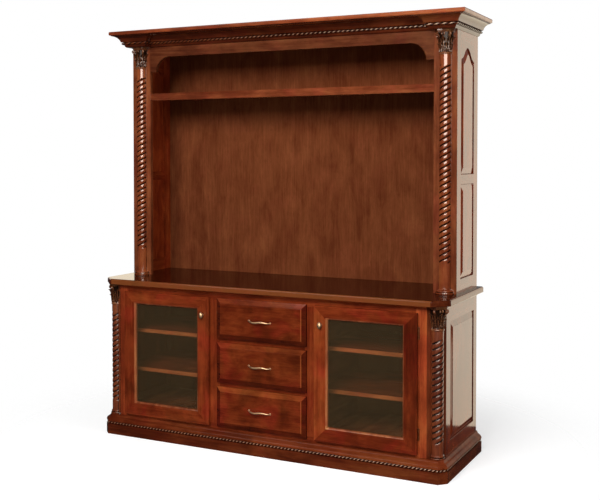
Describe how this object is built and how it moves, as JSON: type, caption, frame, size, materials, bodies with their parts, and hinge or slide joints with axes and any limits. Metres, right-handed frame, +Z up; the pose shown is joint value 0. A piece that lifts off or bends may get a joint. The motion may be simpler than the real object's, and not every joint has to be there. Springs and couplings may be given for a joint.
{
  "type": "tv armoire",
  "caption": "Two-piece cherry television armoire: glazed doors and drawers below, a framed bay and display shelf above, with rope-twist half-columns and a rope-beaded crown.",
  "frame": {"origin": "on the floor, under the middle of the object's box", "axes": "+Z up, +Y to the wall behind, +X to the right as seen from the front"},
  "size_m": [1.946, 0.5862, 2.1],
  "materials": {
    "case_wood": "glossy lacquer over cherry stain",
    "door_wood": "glossy lacquer",
    "drawer_wood": "glossy lacquer",
    "panel_wood": "glossy lacquer",
    "carved_wood": "glossy lacquer, dark in the cuts",
    "rope_wood": "glossy lacquer, dark in the grooves",
    "shelf_wood": "satin lacquer",
    "inner_wood": "clear satin lacquer",
    "back_board": "stained plywood, satin",
    "glass": "clear, slightly warm",
    "nickel": "satin nickel",
    "catch": "brown moulded plastic"
  },
  "bodies": {
    "cabinet": {"adjustable_shelves": "shelf_wood", "base_back_panels": "back_board", "base_capitals": "carved_wood", "base_left_column": "carved_wood", "base_left_side_frame": "case_wood", "base_right_column": "carved_wood", "base_right_side_frame": "case_wood", "base_side_panels": "panel_wood", "console_top": "case_wood", "corner_blocks": "case_wood", "corner_posts": "case_wood", "crown_blocks": "case_wood", "crown_cap": "case_wood", "crown_moulding": "case_wood", "crown_rope": "rope_wood", "deck": "inner_wood", "display_shelf": "case_wood", "door_catches": "catch", "drawer_guides": "inner_wood", "drawer_rails": "case_wood", "drawer_runners": "inner_wood", "face_frame_mullions": "case_wood", "face_frame_rails": "case_wood", "face_frame_stiles": "case_wood", "fixed_hinge_leaves": "nickel", "hutch_back_panel": "back_board", "hutch_capitals": "carved_wood", "hutch_dowels": "inner_wood", "hutch_left_column": "carved_wood", "hutch_left_side_frame": "case_wood", "hutch_right_column": "carved_wood", "hutch_right_side_frame": "case_wood", "hutch_side_panels": "panel_wood", "hutch_stiles": "case_wood", "partitions": "inner_wood", "plinth_boards": "case_wood", "plinth_moulding": "case_wood", "plinth_rope": "rope_wood", "shelf_pins": "nickel", "top_moulding": "case_wood", "valance": "case_wood"},
    "drawer_1": {"drawer_1_box": "inner_wood", "drawer_1_front": "drawer_wood", "drawer_1_pull": "nickel"},
    "drawer_2": {"drawer_2_box": "inner_wood", "drawer_2_front": "drawer_wood", "drawer_2_pull": "nickel"},
    "drawer_3": {"drawer_3_box": "inner_wood", "drawer_3_front": "drawer_wood", "drawer_3_pull": "nickel"},
    "left_door": {"left_door_beads": "door_wood", "left_door_frame": "door_wood", "left_door_glass": "glass", "left_door_hinge_leaves": "nickel", "left_door_knob": "nickel"},
    "right_door": {"right_door_beads": "door_wood", "right_door_frame": "door_wood", "right_door_glass": "glass", "right_door_hinge_leaves": "nickel", "right_door_knob": "nickel"}
  },
  "joints": [
    {"name": "left_door_hinge", "type": "hinge", "parent": "cabinet", "child": "left_door", "pos_m": [-0.7985, -0.2489, 0.431], "axis": [0, 0, -1], "range_deg": [0, 110]},
    {"name": "right_door_hinge", "type": "hinge", "parent": "cabinet", "child": "right_door", "pos_m": [0.7985, -0.2489, 0.431], "axis": [0, 0, 1], "range_deg": [0, 110]},
    {"name": "drawer_1_slide", "type": "slide", "parent": "cabinet", "child": "drawer_1", "axis": [0, -1, 0], "range_m": [0, 0.36]},
    {"name": "drawer_2_slide", "type": "slide", "parent": "cabinet", "child": "drawer_2", "axis": [0, -1, 0], "range_m": [0, 0.36]},
    {"name": "drawer_3_slide", "type": "slide", "parent": "cabinet", "child": "drawer_3", "axis": [0, -1, 0], "range_m": [0, 0.36]}
  ]
}
